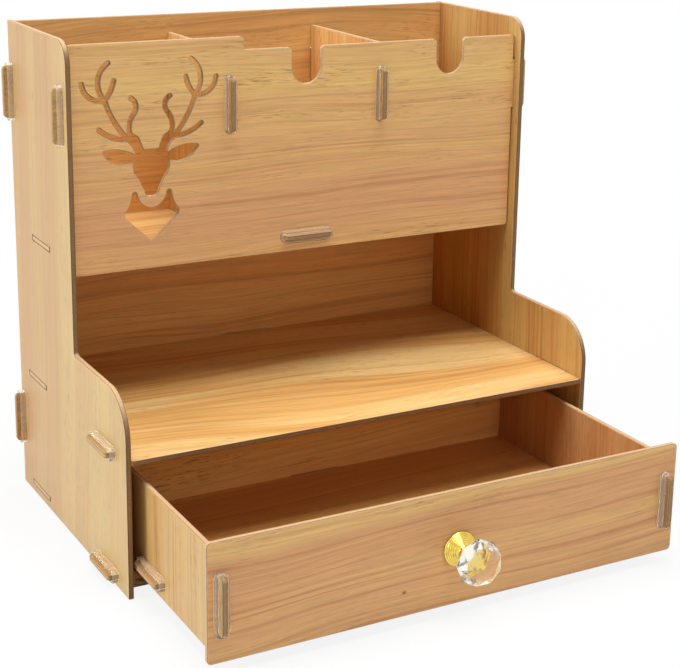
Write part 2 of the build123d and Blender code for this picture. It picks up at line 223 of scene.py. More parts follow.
cut_brown = (0.24, 0.13, 0.053, 1)
# Painted light: the paler tone of cut walls that look sideways.
cut_painted_side_light = (0.6, 0.4, 0.21, 1)
tab_brown = (0.34, 0.21, 0.1, 1)
# Painted light: the paler tone of tab ends that look sideways.
tab_painted_side_light = (0.49, 0.32, 0.155, 1)
# Painted light from above: the pale tone of cut walls that look up.
painted_top_light = (0.54, 0.34, 0.18, 1)


def cut_edge(name, node, thin, tabs, scorch):
    """Laser-cut fibreboard, dark brown in front. As painted light it is paler on the walls and tab ends that
    look sideways, and paler where it looks up, but not on tabs. The place through the board's
    thickness, from 0 at one face to 1 at the other, gives a line under each laminate, scorched to this tone,
    and fine fibres mottle it."""
    finish, tree, output = new_finish(name)
    low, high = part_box(node)
    coordinates = shader(tree, "TexCoord")
    place = coordinates.outputs["Object"]
    through = shader(tree, "SeparateXYZ", {0: place}).outputs[thin]
    share = shader(tree, "MapRange", {0: through, 1: low[thin], 2: high[thin]}).outputs[0]
    layers = tree.nodes.new("ShaderNodeValToRGB")
    tree.links.new(share, layers.inputs[0])
    stops = layers.color_ramp.elements
    for at, tone in ((0.08, scorch), (0.18, 0.95), (0.5, 1.08), (0.82, 0.95), (0.92, scorch)):
        stops.new(at).color = (tone, tone, tone, 1)
    stops[0].color = stops[-1].color = (0.7, 0.7, 0.7, 1)

    facing = shader(tree, "SeparateXYZ", {0: coordinates.outputs["Normal"]}).outputs
    # Painted light: walls and tab ends that look sideways are made paler.
    sideways = ramp(tree, sum_of(tree, facing[0], 0.0, "ABSOLUTE"), 0.4, 0.95)
    colour = blend_colours(tree, sideways, cut_brown, cut_painted_side_light)
    # Painted light from above: walls that look up are made paler, except on tabs.
    top_light_share = ramp(tree, facing[2], 0.25, 0.95)
    if tabs:
        on_tab = past_face(tree, place, tabs)
        colour = blend_colours(tree, on_tab, colour, blend_colours(tree, sideways, tab_brown, tab_painted_side_light))
        top_light_share = sum_of(tree, top_light_share, sum_of(tree, 1.0, on_tab, "SUBTRACT"), "MULTIPLY")
    colour = blend_colours(tree, top_light_share, colour, painted_top_light)
    colour = blend_colours(tree, 1.0, colour, layers.outputs[0], "MULTIPLY")
    mottle = grain_noise(tree, in_millimetres(tree, place), 0.9, 0.9, 3.0, 0.6)
    colour = toned(tree, colour, ramp(tree, mottle, 0.25, 0.75, 0.8, 1.18))
    relief = shader(tree, "Bump", {"Strength": 0.3, "Distance": RELIEF_DEPTH, "Height": mottle}).outputs[0]
    gloss = ramp(tree, mottle, 0.3, 0.7, 0.5, 0.65)
    sockets = {"Base Color": colour, "Roughness": gloss, "Normal": relief, "Specular IOR Level": 0.25}
    surface = shader(tree, "BsdfPrincipled", sockets)
    tree.links.new(surface.outputs[0], output.inputs[0])
    return finish


def merged_copy(name, solid):
    """A copy of a solid's mesh whose loose triangles are joined at their corners, with no finish."""
    shape = bmesh.new()
    shape.from_mesh(solid.data)
    bmesh.ops.remove_doubles(shape, verts=shape.verts, dist=2e-6)
    mesh = bpy.data.meshes.new(name)
    shape.to_mesh(mesh)
    shape.free()
    if "custom_normal" in mesh.attributes:
        mesh.attributes.remove(mesh.attributes["custom_normal"])
    mesh.materials.clear()
    return mesh


worn_brown = (0.60, 0.38, 0.20, 1)
# Partly rubbed laminate and partly a painted highlight along the arris.
worn_and_highlight_pale = (0.74, 0.52, 0.31, 1)


def eased_arris(name):
    """The laminate's rounded edge, smoother than the face and paler in places, partly from rubbing and partly
    as a painted highlight, unevenly along its length.
    """
    finish, tree, output = new_finish(name)
    flat = in_millimetres(tree, shader(tree, "TexCoord").outputs["Object"])
    rubbed = ramp(tree, grain_noise(tree, flat, 9, 9, 3.0), 0.35, 0.65)
    colour = blend_colours(tree, rubbed, worn_brown, worn_and_highlight_pale)
    gloss = ramp(tree, rubbed, 0.0, 1.0, 0.5, 0.35)
    surface = shader(tree, "BsdfPrincipled", {"Base Color": colour, "Roughness": gloss})
    tree.links.new(surface.outputs[0], output.inputs[0])
    return finish


EASE = 0.0004
ARRIS_STEPS = 3
CRISP_TURN = 0.87


def eased_board(name, solid, thin):
    """The board's outline carried through its thickness. The corners of the lower face move inward by
    ease x (1 - sin a) and up by ease x (1 - cos a) as a goes over a quarter turn, from the face to the wall,
    and the upper face repeats the lower one. The way at a corner is the mean of its two walls' normals,
    lengthened so that both walls keep their distance. A wall edge is crisp where the cosine of the turn
    between its walls is under CRISP_TURN. Gives the mesh and each face's part: 0 laminate, 1 cut wall,
    2 arris."""
    rough = merged_copy(name + "_outline", solid)
    points = np.empty(3 * len(rough.vertices))
    rough.vertices.foreach_get("co", points)
    points = points.reshape(-1, 3)
    corners = np.empty(3 * len(rough.polygons), np.int32)
    rough.polygons.foreach_get("vertices", corners)
    normals = np.empty(3 * len(rough.polygons))
    rough.polygons.foreach_get("normal", normals)
    bpy.data.meshes.remove(rough)
    lower = corners.reshape(-1, 3)[normals.reshape(-1, 3)[:, thin] < -0.9]
    used, lower = np.unique(lower, return_inverse=True)
    lower = lower.reshape(-1, 3)
    points = points[used]
    count = len(points)
    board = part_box(solid.name)[1][thin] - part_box(solid.name)[0][thin]

    sides = np.vstack([lower[:, (0, 1)], lower[:, (1, 2)], lower[:, (2, 0)]])
    ways = sides[:, 0] * count + sides[:, 1]
    back = sides[:, 1] * count + sides[:, 0]
    rim = sides[~np.isin(ways, back)]
    inward_axis = np.zeros(3)
    inward_axis[thin] = 1.0
    wall = np.cross(points[rim[:, 1]] - points[rim[:, 0]], -inward_axis)
    wall /= np.linalg.norm(wall, axis=1, keepdims=True)
    before = np.zeros((count, 3))
    after = np.zeros((count, 3))
    before[rim[:, 1]] = wall
    after[rim[:, 0]] = wall
    facing = (before * after).sum(1, keepdims=True)
    outward = (before + after) / (1 + facing)

    angle = np.linspace(0, pi / 2, ARRIS_STEPS + 1)
    inset = EASE * (1 - np.sin(angle))
    depth = EASE * (1 - np.cos(angle))
    inset = np.concatenate([inset, inset[::-1]])
    depth = np.concatenate([depth, board - depth[::-1]])
    rows = len(inset)
    shell = points - outward * inset[:, None, None] + inward_axis * depth[:, None, None]
    step = count * np.arange(rows - 1)[:, None]
    here = rim[:, 0] + step
    beside = rim[:, 1] + step
    quads = np.stack([beside, here, here + count, beside + count], -1)
    upper = lower[:, ::-1] + count * (rows - 1)

    mesh = bpy.data.meshes.new(name)
    mesh.from_pydata(shell.reshape(-1, 3).tolist(), [],
                     lower.tolist() + upper.tolist() + quads.reshape(-1, 4).tolist())
    band = np.concatenate([[2], np.ones(rows - 3, int), [2]])
    part = np.concatenate([np.zeros(2 * len(lower), int), np.repeat(band, len(rim))])
    mesh.shade_smooth()
    ends = np.empty(2 * len(mesh.edges), np.int32)
    mesh.edges.foreach_get("vertices", ends)
    row = ends.reshape(-1, 2) // count
    column = ends.reshape(-1, 2) % count
    along = row[:, 0] == row[:, 1]
    flat_row = np.isin(row[:, 0], (0, ARRIS_STEPS, rows - 1 - ARRIS_STEPS, rows - 1))
    turning = facing[column[:, 0], 0] < CRISP_TURN
    crisp = mesh.attributes.new("sharp_edge", "BOOLEAN", "EDGE")
    crisp.data.foreach_set("value", np.where(along, flat_row, turning))
    return mesh, part


def stand_in(name, mesh, body, node):
    """Puts a mesh into the scene as the piece that stands for a node, moves with a body and takes its finish
    from a slot."""
    piece = bpy.data.objects.new(name, mesh)
    bpy.context.scene.collection.objects.link(piece)
    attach(piece, body)
    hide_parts(node)
    return piece


def finished_board(node, body, thin, face, tabs=None, scorch=0.42):
    """The board as it is finished: laminate on its two faces, cut fibreboard on its walls, and the laminate's
    rubbed arris between them. thin is the axis through its thickness."""
    name = node + "_board"
    mesh, part = eased_board(name, nodes[node], thin)
    for finish in (face, cut_edge(name + "_cut_edge", node, thin, tabs, scorch), arris_finish):
        mesh.materials.append(finish)
    mesh.polygons.foreach_set("material_index", part.astype(np.int32))
    return stand_in(name, mesh, body, node)


X, Y, Z = 0, 1, 2
arris_finish = eased_arris("rubbed_and_highlight_arris")
side_straw = (0.60, 0.418, 0.158, 1)
left_side_tones = (side_straw, (0.52, 0.3, 0.123, 1), (0.45, 0.225, 0.09, 1))
left_side_bands = [(-80, 0.05), (0, 0.1), (55, 0.2), (75, 0.45), (98, 0.7), (112, 0.95), (128, 0.6),
                   (150, 0.75), (180, 0.85)]
left_grain = laminate("left_side_grain", "upright", (40, 0, 0), left_side_tones, wander=5, lines=0.35,
                      shine=0.75, lean=-0.05, plan=left_side_bands)
finished_board("left_side", "cabinet", X, left_grain)

side_rose = (0.565, 0.3, 0.09, 1)
side_streak = (0.40, 0.17, 0.049, 1)
right_side_tones = ((0.625, 0.395, 0.13, 1), side_rose, side_streak)
# The bay tint on this side is painted shade inside the open bay.
right_grain = laminate("right_side_grain", "upright", (310, 80, 0), right_side_tones, wander=5,
                       bay=(1.0, 0.76, 0.38, 1))
finished_board("right_side", "cabinet", X, right_grain)


# ---- Back panel ----
# The full-height board behind everything, locked in both sides by four tabs. Its grain lies level, and the
# flush tabs of the floor, the shelf, the bottom board and the dividers end in its slots.

SIDE_TABS = (X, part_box("left_side")[0].x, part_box("right_side")[1].x)
board_tones = ((0.87, 0.545, 0.2, 1), (0.79, 0.405, 0.135, 1), (0.54, 0.255, 0.08, 1))
back_bands = [(0, 0.9), (90, 1.0), (110, 0.75), (130, 1.0), (160, 0.85), (185, 0.5), (205, 0.2), (225, 0.45),
              (245, 0.15), (262, 0.4), (280, 0.1), (296, 0.3), (312, 0.2)]
# The bay tint on the back panel is painted shade inside the open bay.
back_grain = laminate("back_panel_grain", "across", (120, 0, 0), board_tones, wander=12,
                      plan=back_bands, tabs=SIDE_TABS, bay=(1.0, 0.9, 0.72, 1))
finished_board("back_panel", "cabinet", Y, back_grain, SIDE_TABS)


# ---- Bottom board, shelf and compartment floor ----
# Three level boards between the sides, each with tabs through both sides and one into the back panel. The
# bottom board carries the drawer, the shelf is open in front, and the floor closes the pen compartments.

bottom_grain = laminate("bottom_board_grain", "level", (510, 40, 0), board_tones, tabs=SIDE_TABS)
finished_board("bottom_board", "cabinet", Z, bottom_grain, SIDE_TABS)

shelf_tones = ((0.71, 0.475, 0.192, 1), (0.63, 0.35, 0.108, 1), (0.46, 0.19, 0.048, 1))
shelf_figure = (240, 18)
# The bay tint on the shelf is painted shade where it runs under the pierced panel.
shelf_grain = laminate("shelf_grain", "level", (260, 330, 0), shelf_tones, wander=16, lean=-0.05,
                       figure=shelf_figure, tabs=SIDE_TABS, bay=(1.0, 0.82, 0.6, 1))
finished_board("shelf", "cabinet", Z, shelf_grain, SIDE_TABS)

PANEL_TABS = (Y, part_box("pierced_front_panel")[0].y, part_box("back_panel")[1].y)
floor_grain = laminate("compartment_floor_grain", "level", (700, 90, 0), shelf_tones, wander=16,
                       figure=shelf_figure, tabs=PANEL_TABS)
finished_board("compartment_floor", "cabinet", Z, floor_grain, PANEL_TABS)


# ---- Dividers ----
# Two upright boards that part the pen room in three, standing on its floor. Their grain is upright, their
# front tabs are locked on the face of the pierced panel, and their rear tabs end flush in the back panel.

divider_grain = laminate("divider_grain", "upright", (90, 400, 0), board_tones, tabs=PANEL_TABS)
finished_board("left_divider", "cabinet", X, divider_grain, PANEL_TABS)
finished_board("right_divider", "cabinet", X, divider_grain, PANEL_TABS)


# ---- Pierced front panel ----
# The board before the pen compartments, raised on the left above the stag and notched for fingers in the
# other two. The stag's head, ears, antlers and chest are sawn right through it.

front_straw = (0.85, 0.555, 0.2, 1)
front_streak = (0.58, 0.245, 0.1, 1)
panel_tones = (front_straw, (0.765, 0.42, 0.19, 1), front_streak)
panel_bands = [(165, 0.6), (178, 0.65), (190, 0.9), (205, 1.0), (214, 0.8), (220, 1.0), (227, 0.6),
               (238, 0.95), (250, 0.6), (262, 0.3), (277, 0.0), (285, 0.2), (293, 0.55), (310, 0.5)]
panel_grain = laminate("pierced_panel_grain", "across", (330, 0, 0), panel_tones, wander=6, lines=0.5,
                       plan=panel_bands, tabs=SIDE_TABS)
finished_board("pierced_front_panel", "cabinet", Y, panel_grain, SIDE_TABS, scorch=0.85)


# ---- Locking collars of the cabinet ----
# Clear moulded plastic rings, pushed over the tabs from outside and seated on the board's face. Each is
# 37.2 mm by 8.8 mm, stands 3.6 mm out, and has a rounded outer rim and a hole that grips the tab's faces.

def clear_plastic(name, tint, gloss, bend, clear, shine):
    """Clear moulded plastic. A faint uneven haze varies its gloss, bend is its refractive index, and lamps
    shine through it."""
    finish, tree, output = new_finish(name)
    flat = in_millimetres(tree, shader(tree, "TexCoord").outputs["Object"])
    haze = ramp(tree, grain_noise(tree, flat, 3, 3, 2.0), 0.3, 0.7, 0.6 * gloss, 1.4 * gloss)
    sockets = {"Base Color": tint, "Roughness": haze, "IOR": bend, "Transmission Weight": clear,
               "Specular IOR Level": shine}
    solid = shader(tree, "BsdfPrincipled", sockets)
    through = shader(tree, "BsdfTransparent", {"Color": tint})
    lamp_ray = shader(tree, "LightPath").outputs["Is Shadow Ray"]
    both = shader(tree, "MixShader", {0: lamp_ray, 1: solid.outputs[0], 2: through.outputs[0]})
    tree.links.new(both.outputs[0], output.inputs[0])
    return finish


COLLAR_LENGTH = 0.0372
COLLAR_WIDTH = 0.0088
COLLAR_DEPTH = 0.0036
RIM_ROUND = 0.0007
HOLE_LENGTH = 0.034
HOLE_WIDTH = 0.0033
HOLE_CORNER = 0.0004
HOLE_EASE = 0.0003
FOOT_EASE = 0.0002
FOOT_GAP = 0.00006


def quarter_turned(quarter):
    """Mirrors a quarter of an outline, from the +x end to the +y side, into the closed outline."""
    half = np.vstack([quarter, quarter[-2::-1] * (-1, 1)])
    return np.vstack([half, half[-2:0:-1] * (1, -1)])


def collar_outline(inset):
    """The stadium's outline moved inward by inset: a quarter circle about the end's centre, then the
    straight."""
    radius = COLLAR_WIDTH / 2 - inset
    end = (COLLAR_LENGTH - COLLAR_WIDTH) / 2
    angle = np.linspace(0, pi / 2, 13)
    arc = np.stack([end + radius * np.cos(angle), radius * np.sin(angle)], 1)
    straight = np.stack([np.linspace(end, 0, 4)[1:], np.full(3, radius)], 1)
    return quarter_turned(np.vstack([arc, straight]))


def hole_outline(outset):
    """The hole's outline moved outward by outset: the short end, a small round corner, then the long side."""
    x = HOLE_LENGTH / 2 - HOLE_CORNER
    y = HOLE_WIDTH / 2 - HOLE_CORNER
    angle = np.linspace(0, pi / 2, 9)
    radius = HOLE_CORNER + outset
    end = np.stack([np.full(4, x + HOLE_CORNER + outset), np.linspace(0, y, 5)[:4]], 1)
    arc = np.stack([x + radius * np.cos(angle), y + radius * np.sin(angle)], 1)
    side = np.stack([np.linspace(x, 0, 4)[1:], np.full(3, y + HOLE_CORNER + outset)], 1)
    return quarter_turned(np.vstack([end, arc, side]))


def collar_rings():
    """Closed rings of the collar's surface, from the hole's foot over the seat, the wall and the rim and back
    down the hole: each is an outline and its height over the board."""
    turn = np.linspace(0, pi / 2, 6)
    rows = [(hole_outline(FOOT_EASE), FOOT_GAP), (collar_outline(FOOT_EASE / 2), FOOT_GAP)]
    rows.append((collar_outline(0), FOOT_EASE))
    for inset, rise in zip(RIM_ROUND * (1 - np.cos(turn)), RIM_ROUND * np.sin(turn)):
        rows.append((collar_outline(inset), COLLAR_DEPTH - RIM_ROUND + rise))
    rows += [(hole_outline(HOLE_EASE), COLLAR_DEPTH), (hole_outline(0), COLLAR_DEPTH - HOLE_EASE)]
    rows.append((hole_outline(0), HOLE_EASE))
    return np.stack([np.column_stack([line, np.full(len(line), height)]) for line, height in rows])


def closed_grid(rows, columns, start):
    """Quads of a grid that closes on itself both ways, as on a ring."""
    row, column = np.meshgrid(np.arange(rows), np.arange(columns), indexing="ij")
    next_row = (row + 1) % rows
    next_column = (column + 1) % columns
    corners = [row * columns + column, next_row * columns + column,
               next_row * columns + next_column, row * columns + next_column]
    return np.stack(corners, -1).reshape(-1, 4)[:, ::-1] + start


def collars(node, body, finish, seats):
    """A group of collars. Each seat is the middle of the tab at the board's face, the tab's run and the way
    out; a ring point x along the run, y beside it and z outward goes to its place as one matrix product."""
    rings = collar_rings()
    rows, columns = rings.shape[:2]
    points = []
    quads = []
    for middle, run, out in seats:
        axes = np.array([run, np.cross(out, run), out], float)
        points.append(rings.reshape(-1, 3) @ axes + middle)
        quads.append(closed_grid(rows, columns, len(quads) * rows * columns))
    name = node.replace("clip", "collar")
    mesh = bpy.data.meshes.new(name)
    mesh.from_pydata(np.vstack(points).tolist(), [], np.vstack(quads).tolist())
    mesh.materials.append(finish)
    mesh.shade_smooth()
    mesh.set_sharp_from_angle(angle=0.7)
    return stand_in(name, mesh, body, node)


def seats_beside(node, run):
    """Seats of a pair of collars on the two outer faces of the sides, read from the CAD pair's box."""
    low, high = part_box(node)
    y = (low.y + high.y) / 2
    z = (low.z + high.z) / 2
    left = (low.x + COLLAR_DEPTH, y, z)
    right = (high.x - COLLAR_DEPTH, y, z)
    return [(left, run, (-1, 0, 0)), (right, run, (1, 0, 0))]


def seats_in_front(node):
    """Seats of a pair of upright collars on a face that looks forward."""
    low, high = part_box(node)
    z = (low.z + high.z) / 2
    ends = (low.x + COLLAR_WIDTH / 2, high.x - COLLAR_WIDTH / 2)
    return [((x, high.y, z), (0, 0, 1), (0, -1, 0)) for x in ends]


SIDEWAYS, BACKWARD, UPWARD = (1, 0, 0), (0, 1, 0), (0, 0, 1)
FORWARD = (0, -1, 0)
collar_plastic = clear_plastic("collar_plastic", (1.0, 0.94, 0.81, 1), gloss=0.1, bend=1.2, clear=0.85,
                               shine=0.3)
for node in ("front_panel_clips", "back_panel_upper_clips", "back_panel_lower_clips"):
    collars(node, "cabinet", collar_plastic, seats_beside(node, UPWARD))
for node in ("shelf_clips", "bottom_board_clips"):
    collars(node, "cabinet", collar_plastic, seats_beside(node, BACKWARD))
collars("divider_clips", "cabinet", collar_plastic, seats_in_front("divider_clips"))
floor_low, floor_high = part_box("floor_clip")
floor_middle = (0, floor_high.y, (floor_low.z + floor_high.z) / 2)
collars("floor_clip", "cabinet", collar_plastic, [(floor_middle, SIDEWAYS, FORWARD)])


# ---- Drawer boards ----
# A shallow tray of five boards: front, two sides, back and bottom, tabbed into each other as the cabinet is.
# It slides on the bottom board, and only its front is as wide as the room between the cabinet's sides.

drawer_front_tones = (front_straw, (0.745, 0.395, 0.17, 1), front_streak)
drawer_front_bands = [(0, 1.0), (12, 1.0), (24, 0.9), (36, 0.7), (46, 0.95), (56, 1.0), (66, 0.8), (73, 0.5)]
drawer_front_grain = laminate("drawer_front_grain", "across", (40, 0, 0), drawer_front_tones, wander=6,
                              lines=0.65, lean=0.02, plan=drawer_front_bands, knot=(4.5, 21.5))
finished_board("drawer_front", "drawer", Y, drawer_front_grain)

FRONT_TABS = (Y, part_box("drawer_front")[0].y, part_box("drawer_back")[1].y)
drawer_left_tones = (side_straw, side_rose, side_streak)
drawer_left_grain = laminate("drawer_left_side_grain", "upright", (150, 620, 0), drawer_left_tones, wander=5,
                             shine=0.6, tabs=FRONT_TABS)
finished_board("drawer_left_side", "drawer", X, drawer_left_grain, FRONT_TABS)
# Painted shade: the right side is a darker, redder copy of the drawer side's print, for its shaded inner
# face.
drawer_right_shaded_tones = ((0.53, 0.285, 0.11, 1), (0.46, 0.205, 0.07, 1), (0.33, 0.125, 0.038, 1))
drawer_right_grain = laminate("drawer_right_side_grain", "upright", (410, 300, 0), drawer_right_shaded_tones,
                              wander=5, shine=0.6, tabs=FRONT_TABS)
finished_board("drawer_right_side", "drawer", X, drawer_right_grain, FRONT_TABS)

DRAWER_TABS = (X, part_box("drawer_left_side")[0].x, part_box("drawer_right_side")[1].x)
drawer_back_tones = ((0.815, 0.522, 0.17, 1), (0.757, 0.409, 0.128, 1), (0.504, 0.242, 0.068, 1))
drawer_back_grain = laminate("drawer_back_grain", "across", (610, 20, 0), drawer_back_tones,
                             tabs=DRAWER_TABS)
finished_board("drawer_back", "drawer", Y, drawer_back_grain, DRAWER_TABS)
# Painted shade: the bottom is a darker, redder copy of the board print, for the shaded floor of the drawer.
drawer_bottom_shaded_tones = ((0.649, 0.327, 0.09, 1), (0.573, 0.234, 0.056, 1), (0.395, 0.153, 0.034, 1))
drawer_bottom_grain = laminate("drawer_bottom_grain", "level", (90, 730, 0), drawer_bottom_shaded_tones,
                               tabs=DRAWER_TABS)
finished_board("drawer_bottom", "drawer", Z, drawer_bottom_grain, DRAWER_TABS)


# ---- Locking collars of the drawer ----
# The same collars as on the cabinet: two on the drawer front, and two on each drawer side for the tabs of the
# bottom and the back, in the gap beside the drawer.

collars("drawer_front_clips", "drawer", collar_plastic, seats_in_front("drawer_front_clips"))
collars("drawer_bottom_clips", "drawer", collar_plastic, seats_beside("drawer_bottom_clips", BACKWARD))
collars("drawer_back_clips", "drawer", collar_plastic, seats_beside("drawer_back_clips", UPWARD))


# ---- Knob base ----
# Turned and plated brass: a rosette of fine rings against the drawer front, a waisted stem, and a fluted cup
# that holds the crystal. The screw comes into it from inside the drawer.

AROUND = 128
FLUTES = 8


def turned_form(name, radius, height, flute_depth, finish):
    """A turned form about the knob's axis: each profile point (radius, height) goes round the axis, its
    radius swelling by its flute depth times the cosine of eight turns. The two ends close on one point
    each."""
    low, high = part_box("knob_base")
    angle = np.linspace(0, 2 * pi, AROUND, endpoint=False)
    reach = radius[:, None] + flute_depth[:, None] * np.cos(FLUTES * angle)
    out = np.broadcast_to(height[:, None], reach.shape)
    middle = (low.z + high.z) / 2
    ring = np.stack([reach * np.cos(angle), high.y - out, middle + reach * np.sin(angle)], -1).reshape(-1, 3)
    first = (0, high.y - height[0], middle)
    last = (0, high.y - height[-1], middle)
    points = np.vstack([ring, first, last])
    row, column = np.meshgrid(np.arange(len(radius) - 1), np.arange(AROUND), indexing="ij")
    here = row * AROUND + column
    beside = row * AROUND + (column + 1) % AROUND
    quads = np.stack([here, beside, beside + AROUND, here + AROUND], -1).reshape(-1, 4)
    step = np.arange(AROUND)
    after = (step + 1) % AROUND
    top = (len(radius) - 1) * AROUND
    foot_fan = np.stack([after, step, np.full(AROUND, len(ring))], 1)
    head_fan = np.stack([top + step, top + after, np.full(AROUND, len(ring) + 1)], 1)
    mesh = bpy.data.meshes.new(name)
    mesh.from_pydata(points.tolist(), [], quads.tolist() + foot_fan.tolist() + head_fan.tolist())
    mesh.materials.append(finish)
    mesh.shade_smooth()
    mesh.set_sharp_from_angle(angle=0.9)
    return mesh


def plated_metal(name, tone, dull, gloss, ring_height):
    """Polished metal with fine turning marks: rings about the knob's axis, spaced by noise of the distance
    from it, and faint tarnish that dulls it in patches."""
    finish, tree, output = new_finish(name)
    low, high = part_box("knob_base")
    middle = (low.z + high.z) / 2
    flat = in_millimetres(tree, shader(tree, "TexCoord").outputs["Object"], (0, 0, -1000 * middle))
    part = shader(tree, "SeparateXYZ", {0: flat})
    level = shader(tree, "CombineXYZ", {0: part.outputs[0], 1: part.outputs[2]}).outputs[0]
    distance = shader(tree, "VectorMath", {0: level}, operation="LENGTH").outputs["Value"]
    sockets = {"W": distance, "Scale": 3.5, "Detail": 1.0}
    rings = shader(tree, "TexNoise", sockets, noise_dimensions="1D").outputs[0]
    tarnish = ramp(tree, grain_noise(tree, flat, 4, 4, 3.0), 0.45, 0.75)
    colour = blend_colours(tree, tarnish, tone, dull)
    shine = ramp(tree, tarnish, 0.0, 1.0, gloss, 2.2 * gloss)
    relief = shader(tree, "Bump", {"Strength": 0.4, "Distance": ring_height, "Height": rings}).outputs[0]
    sockets = {"Base Color": colour, "Metallic": 1.0, "Roughness": shine, "Normal": relief}
    surface = shader(tree, "BsdfPrincipled", sockets)
    tree.links.new(surface.outputs[0], output.inputs[0])
    return finish


ROSETTE_RADIUS = 0.0106
ROSETTE_INNER = 0.0053
ROSETTE_RIM = 0.0011
ROSETTE_RISE = 0.0037
RING_COUNT = 5
RING_RISE = 0.00032
STEM_RADIUS = 0.0040
STEM_FLARE = 0.0012
STEM_FOOT = 0.0050
STEM_LENGTH = 0.0040
CUP_FOOT = 0.0090
CUP_FOOT_RADIUS = 0.0052
CUP_RADIUS = 0.0072
CUP_MOUTH_RADIUS = 0.0064
CUP_REACH = 0.0122
CUP_ROUND = 0.0002
FLUTE_DEPTH = 0.0005

# The flat back with its eased rim, then the rosette's rings going inward, the waisted stem and the cup.
back_radius = [0.0100, ROSETTE_RADIUS]
back_height = [0.0, 0.0004]
inward = np.linspace(0, 1, 61)
rings = np.abs(np.sin(RING_COUNT * pi * inward)) ** 0.7
rosette_radius = ROSETTE_RADIUS - inward * (ROSETTE_RADIUS - ROSETTE_INNER)
rosette_height = ROSETTE_RIM + ROSETTE_RISE * inward + RING_RISE * rings
waist = np.linspace(0, 1, 25)
waist_radius = STEM_RADIUS + STEM_FLARE * (2 * waist - 1) ** 2
waist_height = STEM_FOOT + waist * STEM_LENGTH
cup = np.linspace(0, 1, 19)
cup_radius = CUP_FOOT_RADIUS + (CUP_RADIUS - CUP_FOOT_RADIUS) * np.sin(cup * pi / 2)
cup_height = CUP_FOOT + (CUP_REACH - CUP_FOOT - CUP_ROUND) * cup
mouth_height = CUP_REACH - CUP_ROUND / 4
base_radius = np.concatenate([back_radius, rosette_radius, waist_radius, cup_radius[1:], [CUP_MOUTH_RADIUS]])
base_height = np.concatenate([back_height, rosette_height, waist_height, cup_height[1:], [mouth_height]])
no_flutes = np.zeros(len(back_radius) + len(inward) + len(waist))
base_flutes = np.concatenate([no_flutes, FLUTE_DEPTH * cup[1:], [0.0]])
bright_brass = (0.86, 0.66, 0.16, 1)
dull_brass = (0.70, 0.50, 0.10, 1)
brass = plated_metal("knob_brass_plate", bright_brass, dull_brass, gloss=0.12, ring_height=0.00006)
base_mesh = turned_form("knob_rosette_and_stem", base_radius, base_height, base_flutes, brass)
stand_in("knob_rosette_and_stem", base_mesh, "drawer", "knob_base")


# ---- Knob crystal ----
# A cut and polished block of clear crystal with eight corners: flat facets from the small back face to the
# girdle, and from the girdle in two rows to the front face. Its arrises are very slightly eased.

def cut_block(name, rings):
    """An eight-cornered block: each ring (radius, height, turn) has a corner at every eighth of a turn,
    moved on by half an eighth where turn is 1. Triangles or, between rings of one turn, quads join the
    rings."""
    low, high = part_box("knob_base")
    radius, height, turn = np.array(rings).T
    angle = (2 * np.arange(8) + turn[:, None]) * pi / 8
    out = np.broadcast_to(high.y - height[:, None], angle.shape)
    across = radius[:, None] * np.cos(angle)
    up = (low.z + high.z) / 2 + radius[:, None] * np.sin(angle)
    corner = np.arange(8)
    after = (corner + 1) % 8
    faces = [corner[::-1].tolist(), (8 * len(rings) - 8 + corner).tolist()]
    for row in range(len(rings) - 1):
        here = (8 * row + corner, 8 * row + after)
        beyond = (here[0] + 8, here[1] + 8)
        if turn[row] == turn[row + 1]:
            faces += np.stack([here[0], here[1], beyond[1], beyond[0]], 1).tolist()
            continue
        faces += np.stack([here[0], here[1], beyond[int(turn[row] > turn[row + 1])]], 1).tolist()
        faces += np.stack([here[int(turn[row] < turn[row + 1])], beyond[1], beyond[0]], 1).tolist()
    mesh = bpy.data.meshes.new(name)
    mesh.from_pydata(np.stack([across, out, up], -1).reshape(-1, 3).tolist(), [], faces)
    return mesh


crystal_back = (0.0074, CUP_REACH, 1)
crystal_girdle = [(0.0140, 0.0192, 0), (0.0140, 0.0206, 0)]
crystal_front = [(0.0118, 0.0262, 1), (0.0074, 0.0284, 0)]
crystal_mesh = cut_block("cut_crystal", [crystal_back, *crystal_girdle, *crystal_front])
crystal_glass = clear_plastic("crystal_glass", (1.0, 0.965, 0.85, 1), gloss=0.11, bend=1.45, clear=1.0,
                              shine=0.5)
crystal_mesh.materials.append(crystal_glass)
crystal = stand_in("cut_crystal", crystal_mesh, "drawer", "knob_crystal")
crystal_arris = crystal.modifiers.new("eased_arris", "BEVEL")
crystal_arris.width = 0.0003
crystal_arris.segments = 2
crystal_arris.limit_method = "ANGLE"
crystal_arris.angle_limit = 0.15


# ---- Knob screw ----
# A plated steel pan-head screw from inside the drawer, through its front into the knob's stem. The solid's
# own shape is right, so it only takes the metal.

bright_steel = (0.62, 0.61, 0.58, 1)
dull_steel = (0.45, 0.43, 0.40, 1)
steel = plated_metal("screw_steel_plate", bright_steel, dull_steel, gloss=0.22, ring_height=0.00002)
nodes["knob_screw"].material_slots[0].material = steel


# ---- Table, light and camera ----
# A plain white table that runs on out of sight, a wide soft lamp overhead, a lower one on the left, a weak
# one in front, and even light from all round. Seen or reflected, the surroundings are plain white.

def white_if_seen(tree, rest, shown):
    """The number shown where the eye looks at the surface, straight, in a reflection or through clear
    plastic, and rest where its light falls on things."""
    path = shader(tree, "LightPath")
    seen = sum_of(tree, path.outputs["Is Camera Ray"], path.outputs["Is Glossy Ray"], "MAXIMUM")
    seen = sum_of(tree, seen, path.outputs["Is Transmission Ray"], "MAXIMUM")
    seen = sum_of(tree, seen, ramp(tree, path.outputs["Diffuse Depth"], 0.0, 1.0, 1.0, 0.0), "MULTIPLY")
    return ramp(tree, seen, 0.0, 1.0, rest, shown)


